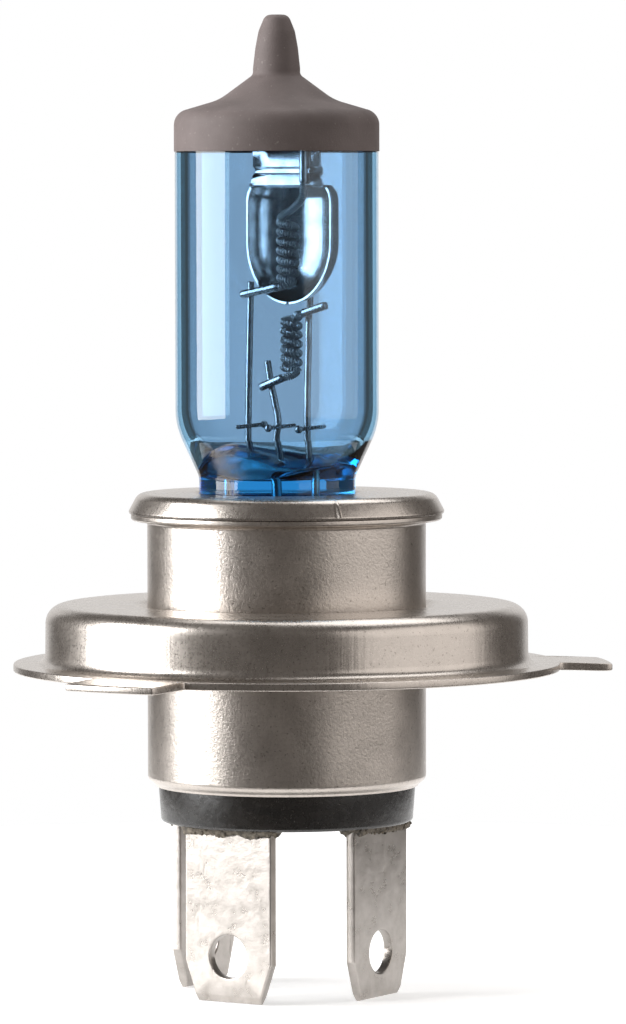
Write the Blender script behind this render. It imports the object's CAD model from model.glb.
# Looks of the two-filament headlight bulb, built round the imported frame.
import math

import bmesh
import bpy
from mathutils import Matrix, Vector


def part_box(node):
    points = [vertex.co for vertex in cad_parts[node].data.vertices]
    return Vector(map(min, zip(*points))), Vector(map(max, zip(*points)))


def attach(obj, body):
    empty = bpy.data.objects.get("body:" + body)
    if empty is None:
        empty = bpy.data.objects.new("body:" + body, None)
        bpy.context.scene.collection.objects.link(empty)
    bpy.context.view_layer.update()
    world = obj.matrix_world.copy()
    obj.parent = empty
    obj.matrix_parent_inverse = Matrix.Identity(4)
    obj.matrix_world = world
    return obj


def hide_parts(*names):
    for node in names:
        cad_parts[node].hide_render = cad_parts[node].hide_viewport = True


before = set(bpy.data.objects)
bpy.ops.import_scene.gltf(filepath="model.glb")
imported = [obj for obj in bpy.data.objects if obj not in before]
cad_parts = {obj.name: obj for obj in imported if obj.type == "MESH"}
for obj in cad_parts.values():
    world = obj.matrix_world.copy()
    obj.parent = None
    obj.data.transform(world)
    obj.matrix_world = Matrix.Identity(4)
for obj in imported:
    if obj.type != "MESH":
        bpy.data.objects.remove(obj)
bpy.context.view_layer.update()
mm = 0.001
print("frame loaded:", len(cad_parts), "nodes")


# Small tools

# A socket that takes part in arithmetic
class Wire:
    def __init__(self, net, socket):
        self.net, self.socket = net, socket

    def maths(self, operation, first, second=None):
        values = {0: first} if second is None else {0: first, 1: second}
        return self.net.add("ShaderNodeMath", {"operation": operation}, values)

    def __add__(self, other):
        return self.maths("ADD", self, other)

    def __radd__(self, other):
        return self.maths("ADD", other, self)

    def __sub__(self, other):
        return self.maths("SUBTRACT", self, other)

    def __rsub__(self, other):
        return self.maths("SUBTRACT", other, self)

    def __mul__(self, other):
        return self.maths("MULTIPLY", self, other)

    def __rmul__(self, other):
        return self.maths("MULTIPLY", other, self)

    def __truediv__(self, other):
        return self.maths("DIVIDE", self, other)

    def __rtruediv__(self, other):
        return self.maths("DIVIDE", other, self)

    def __pow__(self, other):
        return self.maths("POWER", self, other)


# Adds nodes to one tree, for a material or for a Geometry Nodes modifier
class Net:
    def __init__(self, tree):
        self.tree = tree

    def add(self, kind, settings=None, values=None, out=0):
        node = self.tree.nodes.new(kind)
        for key, value in (settings or {}).items():
            if key == "stops":
                self.setStops(node.color_ramp, value)
            else:
                setattr(node, key, value)
        for key, value in (values or {}).items():
            self.feed(node.inputs[key], value)
        return Wire(self, node.outputs[out]) if node.outputs else node

    def feed(self, target, value):
        if isinstance(value, Wire):
            self.tree.links.new(value.socket, target)
        else:
            target.default_value = value

    def setStops(self, ramp, stops):
        while len(ramp.elements) < len(stops):
            ramp.elements.new(1.0)
        for element, (place, colour) in zip(ramp.elements, stops):
            element.position = place
            element.color = (*colour, 1) if len(colour) == 3 else colour

    def noise(self, scale, detail=2.0, roughness=0.5, stretch=(1, 1, 1), shift=(0, 0, 0)):
        place = self.add("ShaderNodeTexCoord", out="Object")
        place = self.add("ShaderNodeMapping", None, {"Vector": place, "Scale": stretch, "Location": shift})
        values = {"Vector": place, "Scale": scale, "Detail": detail, "Roughness": roughness}
        return self.add("ShaderNodeTexNoise", None, values, "Fac")

    def clamp(self, value, low, high, newLow, newHigh):
        values = {"Value": value, "From Min": low, "From Max": high, "To Min": newLow, "To Max": newHigh}
        return self.add("ShaderNodeMapRange", None, values)

    def mix(self, factor, first, second):
        values = {"Factor": factor, "A": first, "B": second}
        node = self.tree.nodes.new("ShaderNodeMix")
        node.data_type = "RGBA"
        for key, value in values.items():
            sockets = [s for s in node.inputs if s.name == key and s.enabled]
            self.feed(sockets[0], value)
        return Wire(self, next(s for s in node.outputs if s.enabled))

    def bump(self, height, distance, strength=1.0):
        values = {"Height": height, "Distance": distance, "Strength": strength}
        return self.add("ShaderNodeBump", None, values)


# A Principled material with its fixed values set, and its net and shader for the rest
def newFinish(name, fixed):
    material = bpy.data.materials.new(name)
    material.use_nodes = True
    shader = material.node_tree.nodes["Principled BSDF"]
    for key, value in fixed.items():
        shader.inputs[key].default_value = value
    return material, Net(material.node_tree), shader


# Points of an outline through (radius, height, rounding) corners, in millimetres
def rounded(corners, fine=1.0):
    points = []
    for index, (across, up, size) in enumerate(corners):
        corner = Vector((across, up))
        before = Vector(corners[index - 1][:2]) - corner
        after = Vector(corners[(index + 1) % len(corners)][:2]) - corner
        if not size:
            points.append(corner)
            continue
        half = before.angle(after) / 2
        reach = min(size / math.tan(half), 0.49 * min(before.length, after.length))
        radius = reach * math.tan(half)
        middle = corner + (before.normalized() + after.normalized()).normalized() * (radius / math.sin(half))
        start = corner + before.normalized() * reach - middle
        turn = start.angle_signed(corner + after.normalized() * reach - middle)
        steps = max(3, round(abs(turn) * (3 + 4 * radius**0.5) * fine))
        for step in range(steps + 1):
            points.append(middle + Matrix.Rotation(-turn * step / steps, 2) @ start)
    return points


def toObject(name, bm, finish, angle=35):
    bmesh.ops.remove_doubles(bm, verts=bm.verts, dist=1e-7)
    bmesh.ops.recalc_face_normals(bm, faces=bm.faces)
    mesh = bpy.data.meshes.new(name)
    bm.to_mesh(mesh)
    bm.free()
    mesh.shade_smooth()
    mesh.set_sharp_from_angle(angle=math.radians(angle))
    mesh.materials.append(finish)
    obj = bpy.data.objects.new(name, mesh)
    bpy.context.collection.objects.link(obj)
    return obj


# Turns a closed outline, in millimetres, round a vertical axis. shape may move each point
def turned(name, outline, finish, centre=(0, 0), segments=192, shape=None, angles=None, angle=35):
    angles = angles or [math.tau * step / segments for step in range(segments)]
    bm = bmesh.new()
    rings = []
    for point in outline:
        if point.x < 1e-6:
            rings.append([bm.verts.new((centre[0], centre[1], point.y * mm))] * len(angles))
            continue
        ring = []
        for theta in angles:
            radius, height = shape(point.x, point.y, theta) if shape else point
            place = (centre[0] + radius * math.cos(theta) * mm, centre[1] + radius * math.sin(theta) * mm)
            ring.append(bm.verts.new((*place, height * mm)))
        rings.append(ring)
    pairs = list(zip(rings, rings[1:] + rings[:1]))
    if outline[0].x < 1e-6:
        pairs.pop()
    for ring, lower in pairs:
        for step in range(len(angles)):
            after = (step + 1) % len(angles)
            face = dict.fromkeys((ring[step], ring[after], lower[after], lower[step]))
            bm.faces.new(list(face))
    return toObject(name, bm, finish, angle)


# The same object with its modifiers made into plain mesh
def applied(obj):
    graph = bpy.context.evaluated_depsgraph_get()
    mesh = bpy.data.meshes.new_from_object(obj.evaluated_get(graph))
    name, materials = obj.name, list(obj.data.materials)
    bpy.data.objects.remove(obj, do_unlink=True)
    mesh.name = name
    if not mesh.materials:
        for material in materials:
            mesh.materials.append(material)
    new = bpy.data.objects.new(name, mesh)
    bpy.context.collection.objects.link(new)
    return new


# The piece takes the place of its CAD nodes, in their material slot
def stands(obj, *nodes):
    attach(obj, "root")
    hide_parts(*nodes)
    return obj


def smoothMin(first, second, width):
    share = max(width - abs(first - second), 0) / width
    return min(first, second) - share * share * width / 4


def smoothMax(first, second, width):
    return -smoothMin(-first, -second, width)


def ease(value):
    value = min(max(value, 0.0), 1.0)
    return value * value * (3 - 2 * value)


boxes = {name: [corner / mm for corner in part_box(name)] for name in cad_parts}


def low(node, axis):
    return boxes[node][0][axis]


def high(node, axis):
    return boxes[node][1][axis]


# Finishes

# Pressed nickel-plated sheet: a fine grain, faint drawing lines up the walls, soft cloudy wear
def satinNickel(name, tone, streaks, satin, coarse):
    material, net, shader = newFinish(name, {"Metallic": 1.0, "Specular IOR Level": 0.5})
    grain = net.clamp(net.noise(4600, 3, 0.7), 0.36, 0.64, 0, 1)
    clouds = net.noise(420, 3, 0.55)
    lines = net.noise(2600, 2, 0.6, stretch=(1, 1, 0.035))
    specks = net.clamp(net.noise(5200, 1, 0.5, shift=(3, 1, 2)), 0.66, 0.74, 0, 1)
    dark = tuple(c * 0.66 for c in tone)
    plain = net.mix(net.clamp(clouds, 0.3, 0.7, 0.35, 0.75) + grain * coarse * 0.6, (*dark, 1), (*tone, 1))
    net.feed(shader.inputs["Base Color"], net.mix(specks * 0.5, plain, (0.16, 0.14, 0.12, 1)))
    net.feed(shader.inputs["Roughness"], satin + clouds * 0.1 + grain * 0.05)
    height = grain * coarse + lines * streaks + clouds * 0.5
    net.feed(shader.inputs["Normal"], net.bump(height, 0.000012))
    return material


# Bright tin plating over brass tabs, mottled and lightly scuffed
def tinned():
    material, net, shader = newFinish("tinned", {"Metallic": 1.0})
    mottle = net.noise(700, 4, 0.6)
    grain = net.noise(6000, 2, 0.6)
    scuffs = net.clamp(net.noise(900, 3, 0.7, stretch=(1, 1, 0.25), shift=(1, 2, 0)), 0.62, 0.72, 0, 1)
    tone = net.mix(net.clamp(mottle, 0.35, 0.65, 0, 1), (0.42, 0.39, 0.36, 1), (0.52, 0.485, 0.455, 1))
    net.feed(shader.inputs["Base Color"], net.mix(scuffs * 0.35, tone, (0.26, 0.23, 0.205, 1)))
    net.feed(shader.inputs["Roughness"], 0.22 + mottle * 0.14 + scuffs * 0.15)
    net.feed(shader.inputs["Normal"], net.bump(mottle * 0.8 + grain * 0.15 - scuffs * 0.3, 0.00003))
    return material


# Blue glass: tinted partly on its faces and partly in depth, so it deepens where it is seen edge on
def tintedGlass():
    fixed = {
        "Base Color": (0.62, 0.675, 0.786, 1), "Roughness": 0.0, "IOR": 1.47, "Transmission Weight": 1.0,
    }
    material, net, shader = newFinish("tintedGlass", fixed)
    ripple = net.noise(160, 1, 0.4, stretch=(1, 1, 0.3))
    net.feed(shader.inputs["Normal"], net.bump(ripple, 0.00002))
    depth = net.add("ShaderNodeVolumeAbsorption", None, {"Color": (0.02, 0.72, 0.95, 1), "Density": 300})
    net.feed(material.node_tree.nodes["Material Output"].inputs["Volume"], depth)
    return material


# Opaque baked coating: matt warm grey with a fine tooth and a few pale specks
def mattCoat():
    material, net, shader = newFinish("mattCoat", {"Metallic": 0.0, "Specular IOR Level": 0.35})
    tooth = net.noise(7000, 2, 0.6)
    clouds = net.noise(350, 3, 0.5)
    specks = net.clamp(net.noise(3600, 1, 0.5, shift=(2, 5, 1)), 0.7, 0.76, 0, 1)
    plain = net.mix(net.clamp(clouds, 0.3, 0.7, 0, 1), (0.145, 0.119, 0.114, 1), (0.187, 0.155, 0.15, 1))
    net.feed(shader.inputs["Base Color"], net.mix(specks * 0.4, plain, (0.34, 0.3, 0.28, 1)))
    net.feed(shader.inputs["Roughness"], 0.58 + tooth * 0.2)
    net.feed(shader.inputs["Normal"], net.bump(tooth, 0.00002))
    return material


# Compression-moulded black-brown thermoset with a slight orange peel and pale dust
def darkMoulding():
    fixed = {"Metallic": 0.0, "Specular IOR Level": 0.9}
    material, net, shader = newFinish("darkMoulding", fixed)
    peel = net.noise(1500, 2, 0.5)
    dust = net.clamp(net.noise(5000, 2, 0.7, shift=(4, 0, 1)), 0.66, 0.72, 0, 1)
    flow = net.clamp(net.noise(260, 3, 0.6, stretch=(1, 1, 3)), 0.35, 0.7, 0, 1)
    plain = net.mix(flow, (0.003, 0.0025, 0.002, 1), (0.012, 0.01, 0.008, 1))
    net.feed(shader.inputs["Base Color"], net.mix(dust * 0.2, plain, (0.12, 0.1, 0.09, 1)))
    net.feed(shader.inputs["Roughness"], 0.22 + peel * 0.1 + dust * 0.2)
    net.feed(shader.inputs["Normal"], net.bump(peel, 0.00002))
    return material


def brownCement():
    material, net, shader = newFinish("brownCement", {"Metallic": 0.0})
    lumps = net.noise(2500, 4, 0.65)
    tone = net.mix(net.clamp(lumps, 0.35, 0.65, 0, 1), (0.035, 0.028, 0.02, 1), (0.2, 0.17, 0.13, 1))
    net.feed(shader.inputs["Base Color"], tone)
    net.feed(shader.inputs["Roughness"], 0.55 + lumps * 0.3)
    net.feed(shader.inputs["Normal"], net.bump(lumps, 0.00008))
    return material


def rolledMolybdenum(name, tone, rough):
    material, net, shader = newFinish(name, {"Metallic": 1.0})
    lines = net.noise(5000, 2, 0.6, stretch=(1, 1, 0.05))
    clouds = net.noise(900, 2, 0.5)
    dark = tuple(c * 0.7 for c in tone)
    net.feed(shader.inputs["Base Color"], net.mix(net.clamp(clouds, 0.3, 0.7, 0, 1), (*dark, 1), (*tone, 1)))
    net.feed(shader.inputs["Roughness"], rough + lines * 0.1)
    net.feed(shader.inputs["Normal"], net.bump(lines + clouds * 0.3, 0.000008))
    return material


finishes = {
    "ring": satinNickel("satinRing", (0.67, 0.615, 0.565), 0.8, 0.21, 0.1),
    "shell": satinNickel("satinShell", (0.66, 0.605, 0.555), 0.4, 0.24, 0.55),
    "tin": tinned(),
    "glass": tintedGlass(),
    "coat": mattCoat(),
    "moulding": darkMoulding(),
    "cement": brownCement(),
    "shield": rolledMolybdenum("polishedShield", (0.78, 0.77, 0.76), 0.16),
    "wire": rolledMolybdenum("drawnWire", (0.6, 0.59, 0.58), 0.22),
    "tungsten": rolledMolybdenum("tungstenWire", (0.66, 0.65, 0.64), 0.36),
}
print("finishes made:", len(finishes))


# Pressed metal

reference = low("focus_ring", 2) + 0.6  # height of the flange's top face
ring = {
    "sheet": 0.6, "flangeRadius": 21.5, "cupRadius": 19.0, "cupFoot": 0.9, "cupShoulder": 1.45,
    "lipRadius": 1.35, "lipDepth": 2.4, "edge": 0.12, "lugRounding": 0.9, "rootRounding": 0.7,
    "lugs": ((270.0, 8.0), (38.0, 7.0), (142.0, 7.0)), "lugDroop": 0.12, "lugMiddle": 23.4, "boreInset": 1.35,
}


# How far out the flange goes in this direction, lugs included
def lugReach(theta):
    reach = ring["flangeRadius"]
    tip = -low("focus_ring", 1)
    for angle, width in ring["lugs"]:
        away = abs((theta - math.radians(angle) + math.pi) % math.tau - math.pi)
        if away > 0.4:
            continue
        side = width / 2 / max(math.sin(away), 1e-4)
        lug = smoothMin(tip, side, ring["lugRounding"])
        reach = max(reach, smoothMax(lug, ring["flangeRadius"], ring["rootRounding"]))
    return reach


# Even steps, with close ones along the sides of each lug
def ringAngles():
    angles = {round(step * 1.5, 3) for step in range(240)}
    for angle, width in ring["lugs"]:
        middle = math.degrees(math.asin(width / 2 / ring["lugMiddle"]))
        for side in (-1, 1):
            for step in range(-14, 15):
                angles.add(round((angle + side * (middle + step * 0.13)) % 360, 3))
    return [math.radians(angle) for angle in sorted(angles)]


def makeRing():
    bore = high("base_shell", 0) - ring["boreInset"]
    cup, top, sheet, edge = ring["cupRadius"], high("focus_ring", 2), ring["sheet"], ring["edge"]
    flange, foot = ring["flangeRadius"], reference - ring["sheet"]
    lipFoot = top - ring["lipDepth"]
    corners = [
        (flange, reference, edge), (cup, reference, ring["cupFoot"]), (cup - 0.05, top, ring["cupShoulder"]),
        (bore, top + 0.03, ring["lipRadius"]), (bore, lipFoot, 0.1), (bore + sheet, lipFoot, 0.1),
        (bore + sheet, top - sheet, 0.75), (cup - sheet, top - sheet, 0.85), (cup - sheet, foot, 1.5),
        (flange, foot, edge),
    ]
    outline = rounded(corners, 1.4)
    start = cup + ring["cupFoot"]

    reaches = {theta: lugReach(theta) for theta in ringAngles()}

    def shape(radius, height, theta):
        if radius <= start:
            return radius, height
        share = (radius - start) / (flange - start)
        radius = start + share * (reaches[theta] - start)
        droop = ring["lugDroop"] * ease((radius - flange) / 4)
        return radius, height - droop

    pressing = turned("focusRing", outline, finishes["ring"], shape=shape, angles=ringAngles())
    return stands(pressing, "focus_ring")


shell = {
    "sheet": 0.4, "flangeOut": 1.4, "flangeThick": 0.5, "flangeTuck": 0.12, "foldRadius": 0.85,
    "mouthRadius": 10.2,
}


def makeShell():
    outer = high("base_shell", 0) - shell["flangeOut"]
    top, foot = high("base_shell", 2), low("base_shell", 2)
    flange, thick, sheet = high("base_shell", 0) - shell["flangeTuck"], shell["flangeThick"], shell["sheet"]
    inner, mouth = outer - sheet, shell["mouthRadius"]
    corners = [
        (inner, top, 0.4), (flange, top, 0.05), (flange, top - thick, 0.35), (outer, top - thick, 0.35),
        (outer, foot + 0.55, shell["foldRadius"]), (outer - 0.55, foot + 0.18, 0.15),
        (outer - 0.62, foot, 0.1), (mouth, foot, 0.08), (mouth, foot + sheet, 0.08),
        (inner, foot + sheet + 0.2, 0.3),
    ]
    return stands(turned("baseShell", rounded(corners, 1.4), finishes["shell"]), "base_shell")


collar = {
    "sheet": 0.4, "flare": 0.75, "shoulder": 0.9, "lip": 1.2, "stakeAngle": -38.6, "stakeOut": 0.28,
    "holeRadius": 6.32,
}


def makeCollar():
    outer, foot, top = high("collar_plate", 0), low("collar_plate", 2), high("collar_plate", 2)
    hole, sheet, lip = collar["holeRadius"], collar["sheet"], collar["lip"]
    corners = [
        (outer - 0.04, foot, 0.03), (outer, foot + 0.2, 0.16),
        (outer - collar["flare"], top, collar["shoulder"]), (hole, top, 0.45), (hole, top - lip, 0.08),
        (hole + sheet, top - lip, 0.08), (hole + sheet, top - sheet, 0.2),
        (outer - 1.0, top - sheet, 0.8), (outer - 0.5, foot, 0.08),
    ]
    outline = rounded(corners, 1.4)
    shift = (low("glass_envelope", 0) + high("glass_envelope", 0)) / 2
    stake = math.radians(collar["stakeAngle"])

    def shape(radius, height, theta):
        if radius > outer - 1.2 and height > foot + 0.2:
            away = (theta - stake + math.pi) % math.tau - math.pi
            ridge = ease(1 + away / 0.03) if away < 0 else ease(1 - away / 0.012)
            radius += collar["stakeOut"] * ridge * ease((top - height) / 0.9)
        return radius, height

    close = {collar["stakeAngle"] % 360 + step * 0.2 for step in range(-10, 8)}
    angles = [math.radians(a) for a in sorted({step * 2.0 for step in range(180)} | close)]
    plate = turned("collarPlate", outline, finishes["ring"], shape=shape, angles=angles)
    for vertex in plate.data.vertices:  # the hole follows the burner, off the axis
        distance = vertex.co.xy.length / mm
        vertex.co.x += shift * mm * (1 - ease((distance - hole - 0.6) / 2.5))
    return stands(plate, "collar_plate")


makeRing()
makeShell()
makeCollar()
print("pressed metal made")


# Insulator, blades and their seals

insulator = {"radius": 9.9, "taper": 0.2, "spigotOut": 0.58, "ledge": 0.45}


def makeInsulator():
    radius, foot = insulator["radius"], low("insulator", 2)
    side, spigot = radius + insulator["taper"], radius + insulator["spigotOut"]
    top, edge = high("insulator", 2), low("base_shell", 2)
    ledge = edge + insulator["ledge"]
    corners = [
        (0, foot, 0), (radius - 0.5, foot, 0), (radius, foot + 0.05, 0.28), (side, edge, 0),
        (side, ledge, 0.05), (spigot, ledge, 0.1), (spigot, top, 0.3), (0, top, 0),
    ]
    return stands(turned("insulatorBlock", rounded(corners, 1.4), finishes["moulding"]), "insulator")


blade = {
    "tipHalf": 2.85, "chamfer": 3.1, "coin": 0.55, "coinThick": 0.4, "holeRadius": 1.7, "holeUp": 3.6,
    "edge": 0.12, "crush": 0.1,
}


# How far a convex outline, drawn in by inset, reaches from the hole's middle in a direction
def reachIn(sides, direction, inset):
    return min((gap - inset) / facing.dot(direction) for facing, gap in sides if facing.dot(direction) > 1e-6)


# A stamped tab in rings from its hole to its outline: rounded edges, a coined end, chamfered corners
def makeBlade(side):
    node = f"{side}_blade"
    lowest, highest = boxes[node]
    size, middle = highest - lowest, (lowest + highest) / 2
    half, thick = max(size.x, size.y) / 2, min(size.x, size.y) / 2
    foot, top = -blade["holeUp"], 0.8 - low(node, 2) - blade["holeUp"]
    tip, shoulder = blade["tipHalf"], foot + blade["chamfer"]
    outline = [(-tip, foot), (tip, foot), (half, shoulder), (half, top), (-half, top), (-half, shoulder)]
    outline = [Vector(point) for point in outline]
    sides = []
    for start, end in zip(outline, outline[1:] + outline[:1]):
        along = (end - start).normalized()
        facing = Vector((along.y, -along.x))
        sides.append((facing, facing.dot(start)))
    directions = [math.tau * step / 180 for step in range(180)]
    directions += [math.atan2(point.y, point.x) + nudge for point in outline for nudge in (-0.012, 0, 0.012)]
    directions = [Vector((math.cos(a), math.sin(a))) for a in sorted(d % math.tau for d in directions)]
    coinEdge, edge, crush = foot + blade["coin"], blade["edge"], blade["crush"]
    quarter = [(1 - math.cos(math.pi * k / 8), 1 - math.sin(math.pi * k / 8)) for k in range(5)]
    rows = [("hole", crush * across, crush * deep) for across, deep in quarter]
    rows += [("hole", crush + 0.06, 0), ("coin", 0.03, 0), ("coin", -0.03, 0), ("rim", edge + 0.06, 0)]
    rows += [("rim", edge * deep, edge * across) for across, deep in quarter]
    faceRows = []
    for kind, inset, depth in rows:
        ring = []
        for direction in directions:
            outer = reachIn(sides, direction, max(inset, 0) if kind == "rim" else edge + 0.1)
            reach = outer
            if kind == "hole":
                reach = blade["holeRadius"] + inset
            elif kind == "coin" and direction.y < 0:
                reach = min(outer, (coinEdge + inset) / direction.y)
            spot = direction * reach
            drop = max(0.0, coinEdge - spot.y) / blade["coin"] * (thick - blade["coinThick"] / 2)
            ring.append((spot.x, thick - depth - drop, spot.y))
        faceRows.append(ring)
    loop = faceRows + [[(x, -y, z) for x, y, z in ring] for ring in reversed(faceRows)]
    bm = bmesh.new()
    vertices = [[bm.verts.new(point) for point in ring] for ring in loop]
    for ring, following in zip(vertices, vertices[1:] + vertices[:1]):
        for step in range(len(ring)):
            after = (step + 1) % len(ring)
            bm.faces.new((ring[step], ring[after], following[after], following[step]))
    turn = {"front": 0, "right": 90, "left": -90}[side]
    bmesh.ops.rotate(bm, cent=(0, 0, 0), matrix=Matrix.Rotation(math.radians(turn), 3, "Z"), verts=bm.verts)
    bmesh.ops.translate(bm, vec=(middle.x, middle.y, lowest.z + blade["holeUp"]), verts=bm.verts)
    bmesh.ops.scale(bm, vec=(mm, mm, mm), verts=bm.verts)
    return stands(toObject(f"{side}Blade", bm, finishes["tin"], 60), node)


seal = {"spread": 0.4, "reach": 9.75, "grainSize": 0.13, "grains": 5.0, "seed": 3}


# Scatters small stones over a bead and makes one mesh of them
def grainTree():
    tree = bpy.data.node_groups.new("crumbs", "GeometryNodeTree")
    face = tree.interface
    face.new_socket("Geometry", in_out="INPUT", socket_type="NodeSocketGeometry")
    for name, kind in (("Size", "Float"), ("Density", "Float"), ("Seed", "Int"), ("Finish", "Material")):
        face.new_socket(name, in_out="INPUT", socket_type=f"NodeSocket{kind}")
    face.new_socket("Geometry", in_out="OUTPUT", socket_type="NodeSocketGeometry")
    net = Net(tree)
    entry = tree.nodes.new("NodeGroupInput")
    get = {socket.name: Wire(net, socket) for socket in entry.outputs}
    spots = net.add("GeometryNodeDistributePointsOnFaces", None, {
        "Mesh": get["Geometry"], "Density": get["Density"], "Seed": get["Seed"]})
    stone = net.add("GeometryNodeMeshIcoSphere", None, {"Radius": get["Size"], "Subdivisions": 2})
    size = net.add("FunctionNodeRandomValue", None, {2: 0.4, 3: 1.2, "Seed": get["Seed"]}, 1)
    placed = net.add("GeometryNodeInstanceOnPoints", None, {
        "Points": spots, "Instance": stone, "Scale": size})
    both = tree.nodes.new("GeometryNodeJoinGeometry")
    for part in (placed, get["Geometry"]):
        tree.links.new(part.socket, both.inputs[0])
    real = net.add("GeometryNodeRealizeInstances", None, {0: Wire(net, both.outputs[0])})
    smooth = net.add("GeometryNodeSetShadeSmooth", None, {0: real})
    final = net.add("GeometryNodeSetMaterial", None, {"Geometry": smooth, "Material": get["Finish"]})
    leave = tree.nodes.new("NodeGroupOutput")
    tree.links.new(final.socket, leave.inputs[0])
    return tree


def setInputs(modifier, values):
    sockets = {s.name: s.identifier for s in modifier.node_group.interface.items_tree if s.in_out == "INPUT"}
    for name, value in values.items():
        modifier[sockets[name]] = value


crumbs = grainTree()


# The lumpy bead of compound that closes a blade's slot
def makeSeal(side):
    node = f"{side}_root_seal"
    lowest, highest = (corner * mm for corner in boxes[node])
    grow = seal["spread"] * mm
    radius = seal["reach"] * mm
    bm = bmesh.new()
    bmesh.ops.create_cube(bm, size=1)
    bmesh.ops.subdivide_edges(bm, edges=bm.edges, cuts=9, use_grid_fill=True)
    size = highest - lowest + Vector((grow, grow, 0)) * 2
    centre = (lowest + highest) / 2
    for vertex in bm.verts:
        away = Vector((vertex.co.x * size.x, vertex.co.y * size.y, vertex.co.z * size.z))
        rough = math.sin(away.x * 4100 + away.y * 2900) * math.sin(away.y * 3700 - away.x * 1300 + 2)
        if vertex.co.z < 0:
            away.z *= 0.72 + 0.42 * rough
        away *= 1 - 0.12 * max(0, -vertex.co.z)
        place = centre + away
        if place.xy.length > radius:
            place.xy = place.xy.normalized() * radius
        vertex.co = place
    bead = toObject(f"{side}Seal", bm, finishes["cement"], 60)
    modifier = bead.modifiers.new("crumbs", "NODES")
    modifier.node_group = crumbs
    values = {"Size": seal["grainSize"] * mm, "Density": seal["grains"] / mm**2, "Seed": seal["seed"]}
    setInputs(modifier, {**values, "Finish": finishes["cement"]})
    return stands(applied(bead), node)


makeInsulator()
for side in ("front", "right", "left"):
    makeBlade(side)
    makeSeal(side)
print("insulator, blades and seals made")


# Burner: glass and coating

burnerX = (low("glass_envelope", 0) + high("glass_envelope", 0)) / 2 * mm
glass = {
    "radius": 8.0, "wall": 1.0, "neckRadius": 6.15, "shoulder": 18.6, "neck": 14.6, "coatGap": 0.01,
    "coat": 0.05, "tipRadius": 1.85, "domeEdge": 43.1, "floor": 14.9, "ridge": 2.5, "ridgeShift": 1.0,
    "foot": 11.8, "coatEdge": 40.1, "lean": 0.4, "leanFrom": 45.5,
}


# The dome and tip from the axis out, this far inside the coating's face
def domeOutline(inset):
    tip, side = glass["tipRadius"], glass["radius"] + glass["coatGap"] + glass["coat"]
    top, dome = high("tip_coating", 2), reference + glass["domeEdge"]
    return [
        (0, top - inset, 0), (0.9 - inset, top - inset, 0.9), (1.43 - inset, top - 1.3, 1.4),
        (1.67 - inset, top - 2.6, 2), (tip - inset, top - 4.2, 1.5), (tip - inset, dome + 3.0 - inset, 1.2),
        (4.5, dome + 1.05 - inset, 4), (side - inset, dome - inset, 1.25),
    ]


def makeCoating():
    outer, inner = domeOutline(0), domeOutline(glass["coat"])
    edge = reference + glass["coatEdge"]
    corners = outer + [(outer[-1][0], edge, 0.06), (inner[-1][0], edge, 0.04)] + inner[::-1]
    lean = math.radians(glass["lean"])
    coat = turned("tipCoating", rounded(corners, 1.6), finishes["coat"], (burnerX, 0), 160)
    bend = reference + glass["leanFrom"]
    for vertex in coat.data.vertices:  # the sealed-off tip leans a little
        over = max(0.0, vertex.co.z / mm - bend)
        vertex.co.x += math.tan(lean) * over * mm
    return stands(coat, "tip_coating")


# The envelope: dome, straight wall, neck, and a hollow whose floor is squeezed by the pinch
def makeGlass():
    radius, neck = glass["radius"], glass["neckRadius"]
    foot = reference + glass["foot"]
    outer = domeOutline(glass["coat"] + glass["coatGap"])
    outer += [
        (radius, reference + glass["shoulder"], 6), (neck, reference + glass["neck"], 1.6),
        (neck, foot, 0.2), (0, foot, 0),
    ]
    inside = radius - glass["wall"]
    floor = reference + glass["floor"]
    hollow = [
        (0, reference + glass["domeEdge"] - 1.0, 0), (inside, reference + glass["domeEdge"] - 1.0, 2.2),
        (inside, reference + glass["shoulder"] + 0.2, 5), (neck - 0.9, floor + 0.6, 1.0),
        (neck - 2.2, floor - 0.2, 1.0), (0, floor, 0),
    ]

    # Below the shoulder the jaws press the hollow flat along Y and leave a ridge in its floor
    def squeezed(across, up, theta):
        deep = ease((reference + 17.2 - up) / 2.6)
        flat = 1 - 0.3 * deep * abs(math.sin(theta)) ** 2
        x, y = across * math.cos(theta) - glass["ridgeShift"], across * math.sin(theta)
        ridge = glass["ridge"] * deep * (1 - ease(math.hypot(x * 0.75, y * 1.15) / 4.6))
        wave = 0.14 * deep * math.sin(3 * theta + across)
        return across * flat, up + ridge + wave

    body = turned("glassOuter", rounded(outer, 2.0), finishes["glass"], (burnerX, 0), 160, angle=60)
    hollow = rounded(hollow, 2.4)
    cavity = turned("glassHollow", hollow, finishes["glass"], (burnerX, 0), 160, squeezed, angle=80)
    cavity.data.flip_normals()
    bm = bmesh.new()
    bm.from_mesh(body.data)
    bm.from_mesh(cavity.data)
    mesh = bpy.data.meshes.new("glassEnvelope")
    bm.to_mesh(mesh)
    bm.free()
    mesh.materials.append(finishes["glass"])
    mesh.shade_smooth()
    mesh.set_sharp_from_angle(angle=math.radians(60))
    for part in (body, cavity):
        bpy.data.objects.remove(part, do_unlink=True)
    envelope = bpy.data.objects.new("glassEnvelope", mesh)
    bpy.context.collection.objects.link(envelope)
    return stands(envelope, "glass_envelope")


makeCoating()
makeGlass()
print("glass and coating made")


# Coils, shield and wires

coil = {"turns": 6, "radius": 0.6, "thick": 0.27, "wire": 0.055, "pitch": 0.165, "turnPoints": 28}


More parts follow.
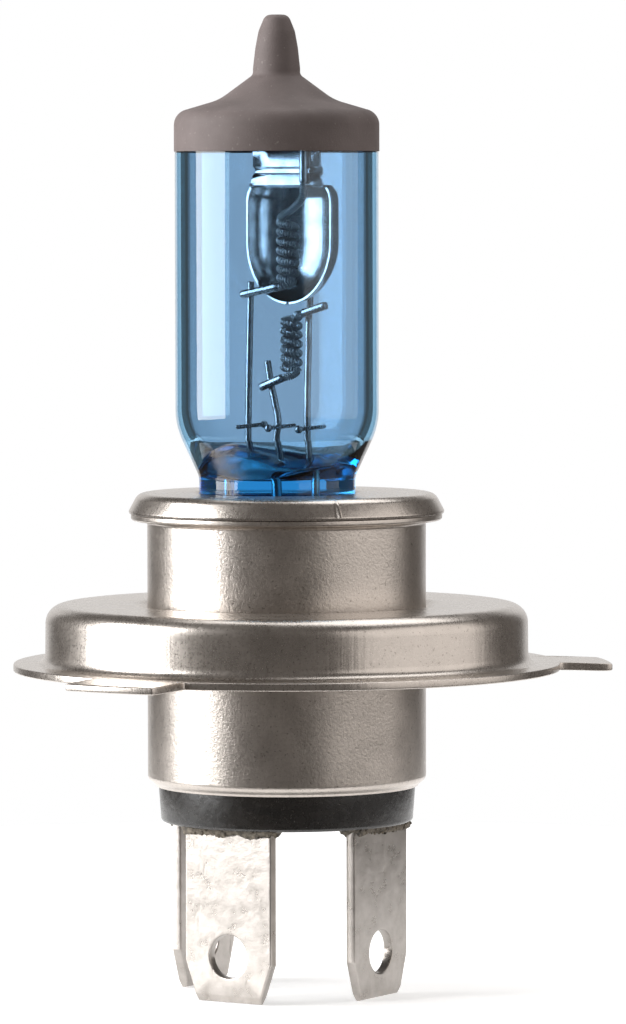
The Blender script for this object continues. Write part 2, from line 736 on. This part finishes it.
# Winds a fine helix round any curve and gives it a round wire
def coiledTree():
    tree = bpy.data.node_groups.new("coiledCoil", "GeometryNodeTree")
    face = tree.interface
    face.new_socket("Geometry", in_out="INPUT", socket_type="NodeSocketGeometry")
    for name, kind in (("Winding", "Float"), ("Pitch", "Float"), ("Wire", "Float"), ("Finish", "Material")):
        face.new_socket(name, in_out="INPUT", socket_type=f"NodeSocket{kind}")
    face.new_socket("Geometry", in_out="OUTPUT", socket_type="NodeSocketGeometry")
    net = Net(tree)
    entry = tree.nodes.new("NodeGroupInput")
    get = {socket.name: Wire(net, socket) for socket in entry.outputs}
    points = net.add("GeometryNodeResampleCurve", {"mode": "LENGTH"}, {
        "Curve": get["Geometry"], "Length": get["Pitch"] / 10})
    along = net.add("GeometryNodeSplineParameter", out="Length")
    angle = along / get["Pitch"] * math.tau
    normal = net.add("GeometryNodeInputNormal")
    tangent = net.add("GeometryNodeInputTangent")
    side = net.add("ShaderNodeVectorMath", {"operation": "CROSS_PRODUCT"}, {0: tangent, 1: normal})
    cosine = net.add("ShaderNodeMath", {"operation": "COSINE"}, {0: angle}) * get["Winding"]
    sine = net.add("ShaderNodeMath", {"operation": "SINE"}, {0: angle}) * get["Winding"]
    first = net.add("ShaderNodeVectorMath", {"operation": "SCALE"}, {0: normal, "Scale": cosine})
    second = net.add("ShaderNodeVectorMath", {"operation": "SCALE"}, {0: side, "Scale": sine})
    offset = net.add("ShaderNodeVectorMath", {"operation": "ADD"}, {0: first, 1: second})
    wound = net.add("GeometryNodeSetPosition", None, {"Geometry": points, "Offset": offset})
    section = net.add("GeometryNodeCurvePrimitiveCircle", None, {"Resolution": 6, "Radius": get["Wire"]})
    tube = net.add("GeometryNodeCurveToMesh", None, {
        "Curve": wound, "Profile Curve": section, "Fill Caps": True})
    smooth = net.add("GeometryNodeSetShadeSmooth", None, {0: tube})
    real = net.add("GeometryNodeRealizeInstances", None, {0: smooth})
    final = net.add("GeometryNodeSetMaterial", None, {"Geometry": real, "Material": get["Finish"]})
    leave = tree.nodes.new("NodeGroupOutput")
    tree.links.new(final.socket, leave.inputs[0])
    return tree


windings = coiledTree()


def curveThrough(name, points):
    curve = bpy.data.curves.new(name, "CURVE")
    curve.dimensions = "3D"
    spline = curve.splines.new("POLY")
    spline.points.add(len(points) - 1)
    for target, point in zip(spline.points, points):
        target.co = (*(Vector(point) * mm), 1)
    obj = bpy.data.objects.new(name, curve)
    bpy.context.collection.objects.link(obj)
    return obj


# A Catmull-Rom curve through the points
def smoothPath(points, steps=8):
    points = [Vector(p) for p in points]
    padded = [2 * points[0] - points[1], *points, 2 * points[-1] - points[-2]]
    path = []
    for p0, p1, p2, p3 in zip(padded, padded[1:], padded[2:], padded[3:]):
        for step in range(steps):
            t = step / steps
            path.append(0.5 * (2 * p1 + (p2 - p0) * t + (2 * p0 - 5 * p1 + 4 * p2 - p3) * t * t
                               + (3 * p1 - p0 - 3 * p2 + p3) * t**3))
    return path + [points[-1]]


def makeCoil(name, node, heights, centre, below, after, turns):
    lowest, highest = heights
    steps = round(turns * coil["turnPoints"])
    path = []
    for step in range(steps + 1):
        angle = math.tau * turns * step / steps
        height = lowest + (highest - lowest) * step / steps
        x = centre[0] + coil["radius"] * math.cos(angle)
        y = centre[1] - coil["radius"] * math.sin(angle)
        path.append((x, y, height))
    lower = smoothPath([*below, path[0]])[:-1]
    upper = smoothPath([path[-1], *after])[1:]
    obj = curveThrough(name, lower + path + upper)
    modifier = obj.modifiers.new("windings", "NODES")
    modifier.node_group = windings
    values = {"Winding": coil["thick"] * mm, "Pitch": coil["pitch"] * mm, "Wire": coil["wire"] * mm}
    setInputs(modifier, {**values, "Finish": finishes["tungsten"]})
    return stands(applied(obj), node)


# A round wire or sleeve along a path, with its ends rounded over
def makeWire(name, node, points, diameter, finish, ends=0.35):
    path = smoothPath(points)
    bm = bmesh.new()
    sides, rings = 20, []
    tangent = (path[1] - path[0]).normalized()
    normal = tangent.orthogonal().normalized()
    radius = diameter / 2
    cap = ends * radius
    for index, point in enumerate(path):
        ahead = path[min(index + 1, len(path) - 1)] - path[max(index - 1, 0)]
        tangent = ahead.normalized()
        normal = (normal - tangent * normal.dot(tangent)).normalized()
        side = tangent.cross(normal)
        sizes = [(0, radius)]
        if index == 0:
            sizes = [(0, radius - cap), (cap * 0.3, radius - cap * 0.3), (cap, radius)]
        if index == len(path) - 1:
            sizes = [(-cap, radius), (-cap * 0.3, radius - cap * 0.3), (0, radius - cap)]
        for forward, size in sizes:
            ring = []
            for step in range(sides):
                angle = math.tau * step / sides
                around = normal * math.cos(angle) + side * math.sin(angle)
                ring.append(bm.verts.new((point + tangent * forward + around * size) * mm))
            rings.append(ring)
    for ringA, ringB in zip(rings, rings[1:]):
        for step in range(sides):
            after = (step + 1) % sides
            bm.faces.new((ringA[step], ringA[after], ringB[after], ringB[step]))
    bm.faces.new(rings[0])
    bm.faces.new(rings[-1])
    return stands(toObject(name, bm, finish, 50), node)


up = reference
makeCoil(
    "lowBeamCoil", "low_beam_filament", (up + 29.9, up + 34.6), (0.15, 0.0),
    [(-0.2, -0.8, up + 29.5), (0.35, -0.7, up + 29.6)],
    [(-0.1, -0.5, up + 35.0), (0.9, -0.5, up + 35.6), (1.75, -0.5, up + 36.4), (1.9, -0.5, up + 37.4),
     (1.9, -0.5, up + 38.4)],
    coil["turns"] + 0.5,
)
makeCoil(
    "highBeamCoil", "high_beam_filament", (up + 22.9, up + 27.2), (0.1, 0.6),
    [(0.0, -0.65, up + 22.35), (0.6, -0.2, up + 22.55)],
    [(0.9, 0.1, up + 27.3), (1.6, -0.6, up + 27.35), (2.1, -0.65, up + 27.45)],
    coil["turns"],
)

shield = {
    "halfWidth": 4.0, "depth": 3.45, "front": 0.25, "top": 37.4, "straight": 33.0, "bottom": 28.2,
    "sheet": 0.2, "squareness": 2.1, "turn": -4.0, "strapHalf": 3.2, "shoulderHalf": 3.5, "edge": 0.05,
    "cornerDrop": 1.1, "cornerIn": 0.12,
}


# A point of the spoon's half-round section, flatter at the back than an ellipse
def spoonPoint(angle, size):
    power = 2 / shield["squareness"]
    x = shield["halfWidth"] * size * math.copysign(abs(math.cos(angle)) ** power, math.cos(angle))
    return x, shield["front"] + shield["depth"] * size * math.sin(angle) ** power


# A spoon behind the low-beam coil, roofed above, with the stepped strap that carries it
def makeShield():
    bm = bmesh.new()
    across, down = 64, 30
    levels = [shield["top"] - k * (shield["top"] - shield["straight"]) / 8 for k in range(8)]
    for step in range(down):
        angle = math.pi / 2 * (step / (down - 1)) * 0.985
        levels.append(shield["straight"] - (shield["straight"] - shield["bottom"]) * math.sin(angle))
    rows = []
    for level in levels:
        drop = max(0.0, (shield["straight"] - level) / (shield["straight"] - shield["bottom"]))
        rise = max(0.0, 1 - (shield["top"] - level) / shield["cornerDrop"])
        size = math.sqrt(1 - drop * drop) * (1 - shield["cornerIn"] * rise * rise)
        row = []
        for step in range(across + 1):
            x, y = spoonPoint(math.pi * step / across, size)
            row.append(bm.verts.new((x, y, up + level)))
        rows.append(row)
    for row, lower in zip(rows, rows[1:]):
        for step in range(across):
            bm.faces.new((row[step], row[step + 1], lower[step + 1], lower[step]))
    bends = [  # depth, height and half width, from the roof's back edge up to the top of the strap
        (shield["depth"], 37.3, 0.8), (1.6, 37.32, 3.3), (0.1, 37.35, shield["shoulderHalf"]),
        (-0.05, 37.5, shield["shoulderHalf"]), (0.05, 38.2, shield["strapHalf"]),
        (0.35, 38.35, shield["strapHalf"]), (0.35, 38.75, shield["strapHalf"]),
        (0.05, 38.95, shield["strapHalf"]), (0.05, 40.95, shield["strapHalf"]),
    ]
    columns = []
    for share in (-1, -0.5, 0, 0.5, 1):
        columns.append([bm.verts.new((half * share, y, up + z)) for y, z, half in bends])
    for near, far in zip(columns, columns[1:]):
        for step in range(len(bends) - 1):
            bm.faces.new((near[step], far[step], far[step + 1], near[step + 1]))
    turn = Matrix.Rotation(math.radians(shield["turn"]), 3, "Z")
    bmesh.ops.rotate(bm, cent=(0, 0, 0), matrix=turn, verts=bm.verts)
    bmesh.ops.scale(bm, vec=(mm, mm, mm), verts=bm.verts)
    obj = toObject("beamShield", bm, finishes["shield"], 40)
    sheet = obj.modifiers.new("sheet", "SOLIDIFY")
    sheet.thickness, sheet.offset = shield["sheet"] * mm, 0
    soft = obj.modifiers.new("edges", "BEVEL")
    soft.width, soft.segments, soft.limit_method = shield["edge"] * mm, 2, "ANGLE"
    soft.angle_limit = math.radians(60)
    return stands(applied(obj), "beam_shield")


makeShield()

wires = {"lead": 0.54, "crimp": 0.66, "pin": 0.34, "ball": 0.62}
left, middle, right = (burnerX / mm + offset for offset in (-2.75, 0.0, 2.75))
pinchTop = up + 12.6
makeWire("leftLead", "left_inner_lead", [
    (left, 0, pinchTop), (left, 0, up + 17), (left + 0.1, 0, up + 22), (-3.2, -0.15, up + 29.9)],
    wires["lead"], finishes["wire"])
makeWire("middleLead", "middle_inner_lead", [
    (middle, 0, pinchTop), (middle - 0.1, 0, up + 17), (middle + 0.1, 0, up + 18.8), (-1.05, 0, up + 20.4),
    (-1.4, 0, up + 21.8), (-1.75, 0, up + 23.7)],
    wires["lead"], finishes["wire"])
makeWire("rightLead", "right_inner_lead", [
    (right, 0, pinchTop), (right, 0, up + 19.4), (right + 0.1, 0, up + 24), (right + 0.15, 0, up + 26.8),
    (1.0, 2.0, up + 28.4), (-0.4, 4.15, up + 30.2), (-0.4, 4.25, up + 33), (-0.4, 4.25, up + 36.9)],
    wires["lead"], finishes["wire"])
crimps = {
    "low_lower_crimp": ((-3.65, -0.82, up + 28.85), (-0.1, -0.82, up + 29.55)),
    "low_upper_crimp": ((1.9, -0.5, up + 37.6), (1.9, -0.5, up + 40.95)),
    "high_upper_crimp": ((1.9, -0.65, up + 27.45), (4.0, -0.65, up + 28.1)),
    "high_lower_crimp": ((-2.0, -0.65, up + 21.6), (0.1, -0.65, up + 22.4)),
}
for node, (start, end) in crimps.items():
    words = node.split("_")
    makeWire(words[0] + words[1].title() + "Crimp", node, [start, end], wires["crimp"], finishes["wire"])
print("coils, shield and wires made")


# A thin pin behind a lead, with a melted ball at its front end
def makePin(side, x, ballEnd):
    node = f"{side}_cross_pin"
    length = high(node, 1) - low(node, 1)
    z = (low(node, 2) + high(node, 2)) / 2
    radius, ball = wires["pin"] / 2, wires["ball"] / 2
    outline = [Vector((0, length))]
    for step in range(5):
        angle = math.pi / 2 * step / 4
        outline.append(Vector((radius * math.sin(angle) + 1e-4, length - radius + radius * math.cos(angle))))
    start = math.asin(radius / ball)
    for step in range(13):
        angle = start + (math.pi - start) * step / 12
        outline.append(Vector((ball * math.sin(angle) if step < 12 else 0, ball + ball * math.cos(angle))))
    pin = turned(f"{side}Pin", outline, finishes["wire"], segments=24)
    end = low(node, 1) if ballEnd < 0 else high(node, 1)
    turn = Matrix.Rotation(ballEnd * math.pi / 2, 4, "X")
    pin.data.transform(Matrix.Translation((x * mm, end * mm, z * mm)) @ turn)
    return stands(pin, node)


for side, x, ballEnd in (("left", left, 1), ("middle", middle, -1), ("right", right, -1)):
    makePin(side, x + wires["lead"] / 2 + wires["pin"] / 2, ballEnd)

for name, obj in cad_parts.items():  # what stays in the shell keeps its CAD shape
    finish = finishes["shell"] if name == "pinch_clip" else finishes["wire"]
    if name == "pinch_clip" or name.endswith(("_foil", "_outer_lead")):
        obj.data.materials.clear()
        obj.data.materials.append(finish)


# Camera, floor and lights

view = {
    "azimuth": 32.0, "distance": 480.0, "height": 37.0, "aimUp": 11.8, "aimRight": 2.08, "lens": 215.0,
    "roll": -0.1,
}


# A point this far from the axis, at an azimuth counted from -Y towards +X, in metres
def away(azimuth, distance, height):
    angle = math.radians(azimuth)
    return Vector((math.sin(angle) * distance, -math.cos(angle) * distance, height)) * mm


def makeCamera():
    camera = bpy.data.objects.new("camera", bpy.data.cameras.new("camera"))
    camera.data.lens, camera.data.sensor_width = view["lens"], 36
    camera.data.clip_start, camera.data.clip_end = 0.01, 20
    camera.location = away(view["azimuth"], view["distance"], up + view["height"])
    across = away(view["azimuth"] + 90, 1, 0)
    aim = across * view["aimRight"] + Vector((0, 0, (up + view["aimUp"]) * mm))
    looking = (aim - camera.location).to_track_quat("-Z", "Y").to_matrix()
    camera.rotation_euler = (looking @ Matrix.Rotation(math.radians(view["roll"]), 3, "Z")).to_euler()
    bpy.context.collection.objects.link(camera)
    bpy.context.scene.camera = camera


# A soft box that faces the object, hidden from the camera itself
def makePanel(name, azimuth, distance, height, wide, tall, radiance, tint=(1, 1, 1), aimAt=0.0):
    light = bpy.data.lights.new(name, "AREA")
    light.shape, light.size, light.size_y = "RECTANGLE", wide * mm, tall * mm
    light.energy = radiance * math.pi * wide * tall * mm * mm
    light.color = tint
    panel = bpy.data.objects.new(name, light)
    panel.location = away(azimuth, distance, height)
    target = Vector((0, 0, aimAt * mm))
    panel.rotation_euler = (target - panel.location).to_track_quat("-Z", "Y").to_euler()
    panel.visible_camera = False
    bpy.context.collection.objects.link(panel)


stage = {"radius": 80, "behind": 50, "clearance": 0.05, "glow": 0.5}


def makeStage():
    bm = bmesh.new()
    bmesh.ops.create_circle(bm, cap_ends=True, segments=128, radius=stage["radius"] * mm)
    floor = toObject("studioFloor", bm, None)
    place = away(view["azimuth"] + 180, stage["behind"], low("front_blade", 2) - stage["clearance"])
    floor.data.transform(Matrix.Translation(place))
    material, net, shader = newFinish("palePaper", {"Roughness": 0.7})
    fibre = net.noise(300, 3, 0.5)
    net.feed(shader.inputs["Base Color"], net.mix(fibre, (0.86, 0.86, 0.86, 1), (0.9, 0.9, 0.9, 1)))
    shader.inputs["Emission Color"].default_value = (1, 1, 1, 1)
    shader.inputs["Emission Strength"].default_value = stage["glow"]
    floor.data.materials.clear()
    floor.data.materials.append(material)
    world = bpy.data.worlds.new("studio")
    bpy.context.scene.world = world
    world.use_nodes = True
    net = Net(world.node_tree)
    seen = net.add("ShaderNodeLightPath", out="Is Camera Ray")
    background = world.node_tree.nodes["Background"]
    net.feed(background.inputs["Color"], net.mix(seen, (0.12, 0.11, 0.103, 1), (1, 1, 1, 1)))


makeCamera()
makeStage()
facing = view["azimuth"]
makePanel("leftBox", facing - 81, 260, 105, 210, 260, 8.5, aimAt=60)
makePanel("rightBox", facing + 67, 260, 105, 400, 260, 1.1, (1, 0.96, 0.93), aimAt=60)
makePanel("backBox", facing + 180, 900, 60, 900, 700, 0.85, aimAt=30)
makePanel("topBox", facing + 150, 160, 420, 420, 320, 2.2, aimAt=0)
bpy.context.scene.view_settings.view_transform = "Standard"
print("stage made")
